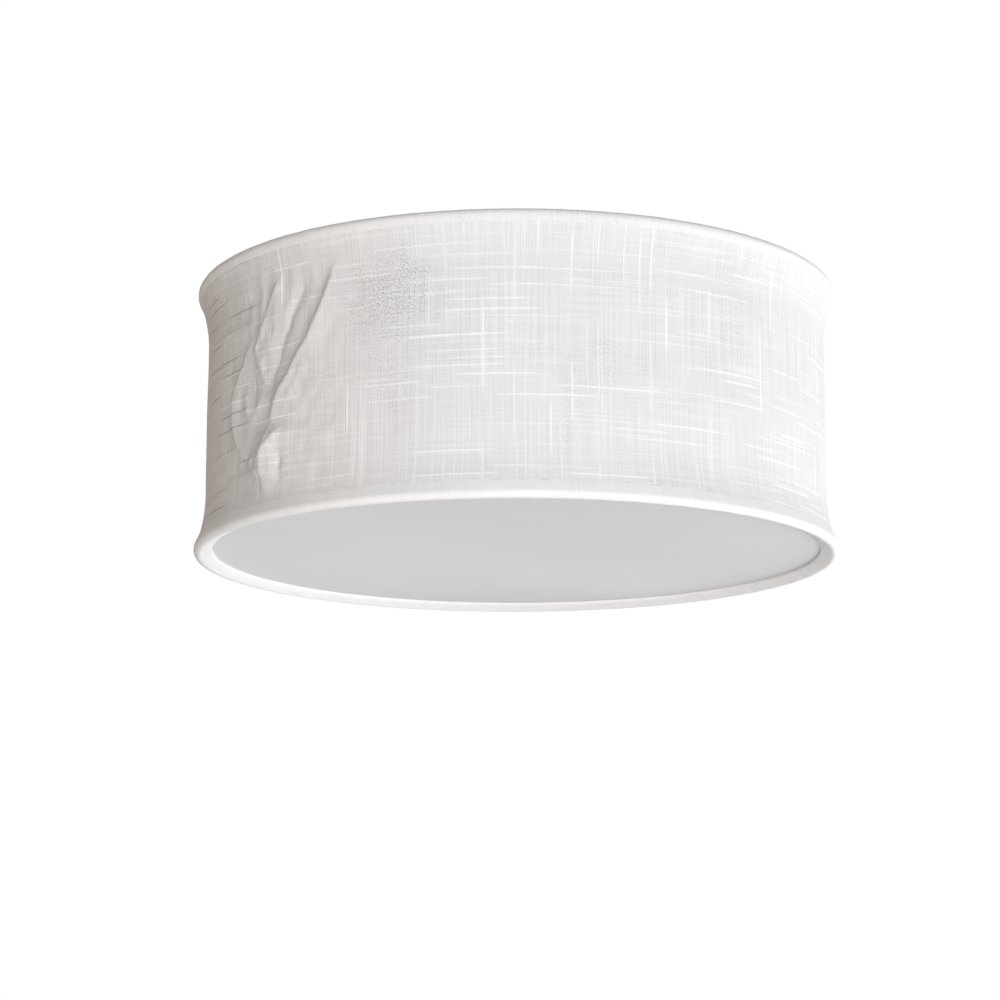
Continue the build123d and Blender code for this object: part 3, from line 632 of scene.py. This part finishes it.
def on_line(points, turn, height):
    """(distance to a crease's line, along share, side) of a place. Side is 1 on the right or above."""
    nearest, whole = None, len(points) - 1
    for number, ((t0, h0), (t1, h1)) in enumerate(zip(points, points[1:])):
        ax, ay = (turn - t0) * mm_per_degree, height * 1000 - h0
        bx, by = (t1 - t0) * mm_per_degree, h1 - h0
        along = max(0.0, min(1.0, (ax * bx + ay * by) / (bx * bx + by * by)))
        away = hypot(ax - along * bx, ay - along * by)
        if nearest is None or away < nearest[0]:
            nearest = (away, (number + along) / whole, 1 if bx * ay - by * ax > 0 else 0)
    return nearest


def crease_height(turn, height):
    """How far all creases together push the cloth out at a place, in metres."""
    push = 0.0
    waver = Vector((turn / 5, height * 45, 0.0))
    turn += 0.7 * noise.noise(waver)
    height += 0.0022 * noise.noise(waver + Vector((0, 0, 4)))
    for points, rise, left_reach, right_reach in creases:
        margin = 4 * max(left_reach, right_reach)
        if not points[0][0] - margin < turn < points[-1][0] + margin and abs(turn - points[0][0]) > 40:
            continue
        away, share, side = on_line(points, turn, height)
        reach = right_reach if side else left_reach
        if away < 4 * reach:
            fade = min(1.0, 5 * share + 0.3, 5 * (1 - share) + 0.3)
            blunt = hypot(away, crest_roundness) - crest_roundness
            push += rise / 1000 * fade * exp(-blunt / reach)
    return push


slack_turn, slack_reach = -139, 24  # degrees, where the cloth hangs slack and how far to either side
dent_depth = 0.0019


def crumple(turn, height):
    """Small dents and ridges where the cloth hangs slack on the left."""
    slackness = max(0.0, 1 - abs(turn - slack_turn) / slack_reach)
    place = Vector((turn * mm_per_degree / 17, height * 1000 / 26, 8.0))
    dents = (0.35 - abs(noise.noise(place))) + 0.5 * (0.35 - abs(noise.noise(place * 2.3)))
    return dent_depth * slackness * dents


# %% Lay the cloth
seam_turn = 90.0  # the glued overlap stands at the back
seam_overlap = 0.012
hem_reach = 0.0095  # the hems hold the cloth still this far from the rings
cloth_rows = 100
cloth_length = 2 * pi * ring_radius
coarse_step, fine_step = 1.25, 0.4  # degrees
creases_from, creases_to = -174, -94
seam_zone = 5  # degrees before the seam that have fine columns too
slack_rise = 0.02  # over this height the cloth goes from held to free
cloth_swell = 0.0006
patch_turn, patch_height, patch_radius = -112, 0.134, 0.036  # the large patch of open weave
# Where the dark strained threads show, which are partly painted shade of fine folds.
strain_shade_turn, strain_shade_reach = -155, 9  # degrees, where dark strained threads show
column_turns = [seam_turn - 360]
while column_turns[-1] < seam_turn - coarse_step / 2:
    creased = creases_from < column_turns[-1] < creases_to
    at_seam = column_turns[-1] > seam_turn - seam_zone
    column_turns.append(column_turns[-1] + (fine_step if creased or at_seam else coarse_step))
column_turns[-1] = seam_turn


def slack(height):
    """The rings hold the cloth still, and it moves freely away from them."""
    return min(1.0, max(0.0, min(height, ring_distance - height) - hem_reach) / slack_rise)


def seam_step(turn):
    """The cloth's end lies over its start for the overlap's width."""
    return cloth_thickness if turn > seam_turn - degrees(seam_overlap / ring_radius) else 0.0


def cloth_marks(turn, height):
    """How open the weave is at a place, and how far its threads are strained and darkened, partly as
    painted shade of fine folds.
    """
    beside = radians(turn - patch_turn) * ring_radius / patch_radius
    away = hypot(beside, (height - patch_height) / patch_radius)
    ragged = 0.5 * noise.noise(Vector((turn / 3, height * 110, 1.0)))
    strain_and_fold_shade = 1.7 - abs(turn - strain_shade_turn) / strain_shade_reach
    return max(0.0, min(1.0, 1.5 - 1.3 * away + ragged)), max(0.0, min(1.0, strain_and_fold_shade))


def lay_cloth():
    """The cloth's outside as a grid mesh with its own map, open at both ends."""
    columns = len(column_turns) - 1
    points, maps, marks = [], [], []
    for row in range(cloth_rows + 1):
        height = ring_distance * row / cloth_rows
        radius = cover_side(height)
        for turn in column_turns[:-1]:
            push = (crease_height(turn, height) + crumple(turn, height)) * slack(height)
            swell = noise.noise(Vector((turn / 14, height * 22, 3.0))) * cloth_swell * slack(height)
            out = radius + push + swell + seam_step(turn) * slack(height)
            points.append((out * cos(radians(turn)), out * sin(radians(turn)), bottom_ring_z + height))
            marks.append(cloth_marks(turn, height))
    faces = []
    for row in range(cloth_rows):
        for column in range(columns):
            here, ahead = row * columns + column, row * columns + (column + 1) % columns
            faces.append((here, ahead, ahead + columns, here + columns))
            u0, u1 = (radians(turn + 270) * ring_radius for turn in column_turns[column:column + 2])
            v0, v1 = ring_distance * row / cloth_rows, ring_distance * (row + 1) / cloth_rows
            maps += [(u0, v0), (u1, v0), (u1, v1), (u0, v1)]
    mesh = bpy.data.meshes.new("linen_sheet")
    mesh.from_pydata(points, [], faces)
    uv = mesh.uv_layers.new(name="cloth_place")
    for loop, place in zip(uv.data, maps):
        loop.uv = place
    for number, name in enumerate(("open_weave", "strain")):
        attribute = mesh.attributes.new(name, "FLOAT", "POINT")
        for item, values in zip(attribute.data, marks):
            item.value = values[number]
    return mesh


def select(*pieces):
    """Selects these pieces and no others, and makes the first one active."""
    bpy.ops.object.select_all(action="DESELECT")
    for piece in pieces:
        piece.select_set(True)
    bpy.context.view_layer.objects.active = pieces[0]


def apply_place():
    """Puts the active piece's place, turn and scale in its mesh."""
    bpy.ops.object.transform_apply(location=True, rotation=True, scale=True)


def apply_modifier(piece, kind, **settings):
    """Adds a modifier, sets it and applies it."""
    select(piece)
    made = piece.modifiers.new(kind.lower(), kind)
    for name, value in settings.items():
        setattr(made, name, value)
    bpy.ops.object.modifier_apply(modifier=made.name)


def add_piece(mesh, material, body):
    """A finished piece at the origin that rides on a body and takes a slot's finish."""
    piece = bpy.data.objects.new(mesh.name, mesh)
    bpy.context.scene.collection.objects.link(piece)
    mesh.materials.append(material)
    mesh.shade_smooth()
    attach(piece, body)
    return piece


cover = add_piece(lay_cloth(), linen, "shade")
apply_modifier(cover, "SOLIDIFY", thickness=cloth_thickness, offset=-1)
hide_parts("linen_cover")
print("the cloth has", len(cover.data.polygons), "faces")

# %% [markdown]
# ## The hems
# A second, doubled strip of the same linen is rolled round each ring and glued down over the cover's
# edge. In the picture both hems read as soft round beads with a thin edge on the cloth. I sweep the
# hem's section round the ring and let its edge and its roll wander a little, as glued cloth does.

# %% Hem section
hem_thickness = 0.0007
hem_edge_thickness = 0.00003
hem_tail_points = 7
hem_swell = 0.00018
hem_edge_wander = 0.0005
hem_edge_from = 0.0025  # above this height over the ring the hem's edge wanders
hem_crease_angle = 50  # degrees, a sharper corner is drawn sharp
lip_width = 0.0082
lip_inner_radius = ring_radius - lip_width
lip_rise = 0.0005
hem_columns = 720
diffuser_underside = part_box("opal_diffuser")[0].z - bottom_ring_z
# Places where the hem is pinched on the inside of the bottom ring, in degrees
pinches = (35.6, 26.1, 24.4, 19.6)
pinch_depth, pinch_half_width = 0.0006, 0.55  # metres and degrees
pinch_leans = (-150, 120)  # degrees for each metre towards the ring, in turn


def arc(centre, radius, start, end, steps):
    """Points on an arc from one angle to another, in radians."""
    return [
        Vector((centre[0] + radius * cos(angle), centre[1] + radius * sin(angle)))
        for angle in [start + (end - start) * step / steps for step in range(steps + 1)]
    ]


def pinch(turn, radius, height):
    """How far the hem is pinched in at a place. Only its flat inside shows pinches."""
    if radius > ring_radius or height > 0:
        return 0.0
    depth = 0.0
    for number, centre in enumerate(pinches):
        lean = (radius - lip_inner_radius) * pinch_leans[number % 2]
        depth = max(depth, exp(-(((degrees(turn) - centre + lean) / pinch_half_width) ** 2)))
    return pinch_depth * depth


def hem_side(offset, tail, over_lip):
    """One side of a hem as (radius, height towards the shade's middle) points, from its inner edge
    round the ring and up the cover. Over the lip it starts on the lip's inner edge."""
    roll = cloth_roll + offset
    start = pi
    side = []
    if over_lip:
        to_ring = Vector((ring_radius - lip_inner_radius, -lip_rise))
        touch = 2 * pi + atan2(to_ring.y, to_ring.x) - acos(-cloth_roll / to_ring.length)
        side.append(Vector((lip_inner_radius - offset, diffuser_underside - cloth_gap)))
        corner = (lip_inner_radius, lip_rise)
        side += arc(corner, offset + 0.0002, pi, touch, 3)
        start = touch
    side += arc((ring_radius, 0), roll, start, 2 * pi + leave_angle, 18)
    lay = draw_radius - offset
    centre = (wall_radius + draw_radius, wall_start)
    leave = pi + leave_angle
    side += arc(centre, lay, leave, leave - tail / draw_radius, hem_tail_points)[1:]
    return side


def hem_section(tail, over_lip):
    """The hem's closed outline. Towards the edge that is glued on the cloth it thins and meets it."""
    cloth = hem_side(0.0, tail, over_lip)
    inner = hem_side(cloth_gap, tail, over_lip)
    outer = hem_side(cloth_gap + hem_thickness, tail, over_lip)
    for number in range(hem_tail_points):
        thin = (number + 1) / hem_tail_points
        at = len(outer) - hem_tail_points + number
        out_of_cloth = (outer[at] - inner[at]).normalized()
        edge = cloth[at] + out_of_cloth * hem_edge_thickness
        outer[at] = outer[at].lerp(edge, thin**1.5)
        inner[at] = inner[at].lerp(cloth[at] - out_of_cloth * hem_edge_thickness, thin)
    return outer, inner


def lay_hem(name, ring_z, way, tail, over_lip, seed):
    """A hem round one ring. Way is 1 where the shade's middle lies above the ring and -1 below it."""
    outer, inner = hem_section(tail, over_lip)
    section = outer + inner[::-1]
    lengths = [0.0]
    for here, ahead in zip(section, section[1:] + section[:1]):
        lengths.append(lengths[-1] + (ahead - here).length)
    count = len(section)
    points, faces, maps = [], [], []
    for column in range(hem_columns):
        turn = 2 * pi * column / hem_columns
        round_place = Vector((cos(turn) * 3, sin(turn) * 3, seed))
        swell = hem_swell * noise.noise(round_place * 9)
        stretch = hem_edge_wander * noise.noise(round_place * 5)
        for number, point in enumerate(section):
            radius, height = point
            on_outside = 1 if number < len(outer) else 0
            pressed = pinch(turn, radius, height) if over_lip else 0.0
            out = Vector((radius - ring_radius, height)).normalized() * (swell - pressed) * on_outside
            edge = stretch if height > hem_edge_from else 0.0
            out.x += cover_side(height + edge) - cover_side(height) if edge else 0.0
            level = ring_z + way * (height + out.y + edge)
            points.append(((radius + out.x) * cos(turn), (radius + out.x) * sin(turn), level))
    for column in range(hem_columns):
        for number in range(count):
            a, b = column * count + number, column * count + (number + 1) % count
            c, d = (b + count) % (hem_columns * count), (a + count) % (hem_columns * count)
            u0, u1 = cloth_length * column / hem_columns, cloth_length * (column + 1) / hem_columns
            v0, v1 = lengths[number], lengths[number + 1]
            face, corners = (a, d, c, b), [(u0, v0), (u1, v0), (u1, v1), (u0, v1)]
            faces.append(face if way > 0 else face[::-1])
            maps += corners if way > 0 else corners[::-1]
    mesh = bpy.data.meshes.new(name)
    mesh.from_pydata(points, [], faces)
    uv = mesh.uv_layers.new(name="cloth_place")
    for loop, place in zip(uv.data, maps):
        loop.uv = place
    return mesh


# %% Both hems
# The top hem takes the darker copy of the hem linen, which is painted shade.
for name, ring_z, way, tail, over_lip, finish in (
    ("bottom_hem", bottom_ring_z, 1, 0.0080, True, hem_linen),
    ("top_hem", top_ring_z, -1, 0.0036, False, shaded_top_hem_linen),
):
    mesh = lay_hem(name + "_roll", ring_z, way, tail, over_lip, 5.0 * way)
    hem = add_piece(mesh, finish, "shade")
    select(hem)
    bpy.ops.object.shade_smooth_by_angle(angle=radians(hem_crease_angle))
    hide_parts(name)
    print(name, "has", len(mesh.polygons), "faces")

# %% [markdown]
# ## Small metal and moulded details
# These pieces show once the diffuser is off. The lamp's cap gets a rolled round thread, the lampholders
# get grip ribs, and the screw heads get their slots and crosses. Each piece is joined from closed forms.

# %% Mesh helpers
lamp_turns = (90, 210, 330)
cap_low, cap_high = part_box("lamp_1_cap")
lamp_z = (cap_low.z + cap_high.z) / 2


def join(pieces, name):
    """Makes one object of several, with its place in the mesh."""
    select(*pieces)
    if len(pieces) > 1:
        bpy.ops.object.join()
    apply_place()
    whole = bpy.context.active_object
    whole.name = whole.data.name = name
    return whole


def onto_axis(piece, number):
    """Turns a piece built upwards from the origin so that it lies along a lamp's axis."""
    select(piece)
    piece.rotation_euler = (0, pi / 2, radians(lamp_turns[number - 1]))
    piece.location = (0, 0, lamp_z)
    apply_place()
    return piece


def finish_piece(piece, node, body, replaced=True):
    """Gives a detail its finish and its body, and lets it stand for its CAD node."""
    piece.data.materials.clear()
    piece.data.materials.append(finishes[finish_of[node]])
    select(piece)
    bpy.ops.object.shade_smooth_by_angle(angle=radians(35))
    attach(piece, body)
    if replaced:
        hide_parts(node)


# %% [markdown]
# The thread is a round wire wound round the cap's core, four turns of it, with its crest on the cap's
# full radius, so the cap still clears the lampholder's shell as the lamp comes out.

# %% Lamp caps with their thread
thread_pitch = 0.00362
thread_radius = 0.0009
cap_radius = (cap_high.x - cap_low.x) / 2
cap_start, cap_length = cap_low.y, cap_high.y - cap_low.y
core_radius = cap_radius - thread_radius
cone_length = cap_length / 6
cone_tip_share = 0.55  # of the cap's radius, at the contact
collar_length = 0.0018
thread_turns, steps_per_turn, wire_sides, cap_sides = 4, 40, 12, 64
edge_rounding = 0.0004


def threaded_cap(number):
    """A lamp's cap: a cone and a core, a collar at the neck, and the thread wound round them."""
    thread_start = cap_start + cone_length + thread_radius
    bpy.ops.mesh.primitive_circle_add(
        vertices=wire_sides, radius=thread_radius, location=(core_radius, 0, 0), rotation=(pi / 2, 0, 0)
    )
    thread = bpy.context.active_object
    apply_place()
    apply_modifier(
        thread, "SCREW", axis="Z", angle=2 * pi, screw_offset=thread_pitch, iterations=thread_turns,
        steps=steps_per_turn, render_steps=steps_per_turn, use_merge_vertices=False,
    )
    bpy.ops.object.mode_set(mode="EDIT")
    bpy.ops.mesh.select_all(action="SELECT")
    bpy.ops.mesh.remove_doubles(threshold=0.00001)
    bpy.ops.mesh.select_all(action="DESELECT")
    bpy.ops.mesh.select_mode(type="VERT")
    bpy.ops.mesh.select_non_manifold()
    bpy.ops.mesh.fill()
    bpy.ops.mesh.select_all(action="SELECT")
    bpy.ops.mesh.normals_make_consistent(inside=False)
    bpy.ops.object.mode_set(mode="OBJECT")
    thread.location.z = thread_start
    bpy.ops.mesh.primitive_cone_add(
        vertices=cap_sides, radius1=cap_radius * cone_tip_share, radius2=core_radius, depth=cone_length,
        location=(0, 0, cap_start + cone_length / 2),
    )
    cone = bpy.context.active_object
    core_length = cap_length - cone_length
    bpy.ops.mesh.primitive_cylinder_add(
        vertices=cap_sides, radius=core_radius, depth=core_length,
        location=(0, 0, cap_start + cone_length + core_length / 2),
    )
    core = bpy.context.active_object
    bpy.ops.mesh.primitive_cylinder_add(
        vertices=cap_sides, radius=cap_radius, depth=collar_length,
        location=(0, 0, cap_start + cap_length - collar_length / 2),
    )
    collar = bpy.context.active_object
    apply_modifier(collar, "BEVEL", width=edge_rounding, segments=3, limit_method="ANGLE")
    return onto_axis(join([core, cone, collar, thread], f"threaded_cap_{number}"), number)


for number in (1, 2, 3):
    finish_piece(threaded_cap(number), f"lamp_{number}_cap", f"lamp_{number}")

# %% [markdown]
# Each lampholder's skirt has grip ribs along it. They are laid on the skirt and sunk a little into it.

# %% Grip ribs
skirt_low, skirt_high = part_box("lampholder_skirt_1")
skirt_radius = (skirt_high.x - skirt_low.x) / 2
rib_count, rib_width, rib_height, rib_margin = 28, 0.0016, 0.0006, 0.004


def grip_ribs(number):
    """A ring of ribs round one skirt, with softened edges."""
    start, end = skirt_low.y + rib_margin, skirt_high.y - rib_margin
    ribs = []
    for rib in range(rib_count):
        turn = 2 * pi * rib / rib_count
        bpy.ops.mesh.primitive_cube_add(
            size=1,
            location=(skirt_radius * cos(turn), skirt_radius * sin(turn), (start + end) / 2),
            rotation=(0, 0, turn),
        )
        made = bpy.context.active_object
        made.scale = (2 * rib_height, rib_width, end - start)
        ribs.append(made)
    whole = join(ribs, f"grip_ribs_{number}")
    apply_modifier(whole, "BEVEL", width=edge_rounding, segments=2, limit_method="ANGLE")
    return onto_axis(whole, number)


for number in (1, 2, 3):
    finish_piece(grip_ribs(number), f"lampholder_skirt_{number}", "ceiling_base", replaced=False)

# %% [markdown]
# Screw heads: I copy the CAD screws, merge their corners, and cut each head with a small cutter: a slot
# in the terminal's clamping and fixing screws, and a cross in the earth screw and the holders' screws.

# %% Screw recesses
screw_twists = (20, 65, -30, 80, 5, -55, 40)  # degrees, how far each screw happens to be turned


def cut_head(screw, out, twist, width, length, depth, cross):
    """Cuts one screw's head. Out is the way the head faces."""
    side = out.orthogonal().normalized()
    side = Matrix.Rotation(radians(twist), 3, out) @ side
    other = out.cross(side)
    middle = Vector((0, 0, 0))
    for way in (side, other):
        along = [vertex.co.dot(way) for vertex in screw.data.vertices]
        middle += way * (min(along) + max(along)) / 2
    middle += out * max(vertex.co.dot(out) for vertex in screw.data.vertices)
    turned = Matrix((side, other, out)).transposed().to_euler()
    for scale in ((width, length, 2 * depth), (length, width, 2 * depth))[: 2 if cross else 1]:
        bpy.ops.mesh.primitive_cube_add(size=1, location=middle, rotation=turned)
        cutter = bpy.context.active_object
        cutter.scale = scale
        apply_place()
        apply_modifier(screw, "BOOLEAN", operation="DIFFERENCE", object=cutter, solver="EXACT")
        bpy.data.objects.remove(cutter)


def recessed(node, width, length, depth, cross, level=False):
    """A copy of a node's screws with cut heads. Level screws face the middle of the lamp."""
    copy = nodes[node].copy()
    copy.data = nodes[node].data.copy()
    copy.parent = None
    copy.matrix_world = nodes[node].matrix_world.copy()
    bpy.context.scene.collection.objects.link(copy)
    select(copy)
    apply_place()
    bpy.ops.object.mode_set(mode="EDIT")
    bpy.ops.mesh.select_all(action="SELECT")
    bpy.ops.mesh.remove_doubles(threshold=0.000001)
    bpy.ops.mesh.normals_make_consistent(inside=False)
    bpy.ops.mesh.separate(type="LOOSE")
    bpy.ops.object.mode_set(mode="OBJECT")
    screws = list(bpy.context.selected_objects)
    for number, screw in enumerate(screws):
        out = Vector((0, 0, -1))
        if level:
            corners = [vertex.co for vertex in screw.data.vertices]
            place = sum(corners, Vector()) / len(corners)
            ways = [Vector((cos(radians(turn)), sin(radians(turn)), 0)) for turn in lamp_turns]
            out = -max(ways, key=place.dot)
        cut_head(screw, out, screw_twists[number % len(screw_twists)], width, length, depth, cross)
    return join(screws, "cut_" + node)


for node, width, length, depth, cross, level in (
    ("terminal_screws", 0.0006, 0.0040, 0.0007, False, False),
    ("terminal_fixing", 0.0008, 0.0050, 0.0009, False, False),
    ("earth_screw", 0.0009, 0.0042, 0.0011, True, False),
    ("holder_screws", 0.0009, 0.0040, 0.0010, True, True),
):
    finish_piece(recessed(node, width, length, depth, cross, level), node, "ceiling_base")
print("caps, ribs and screw heads made")
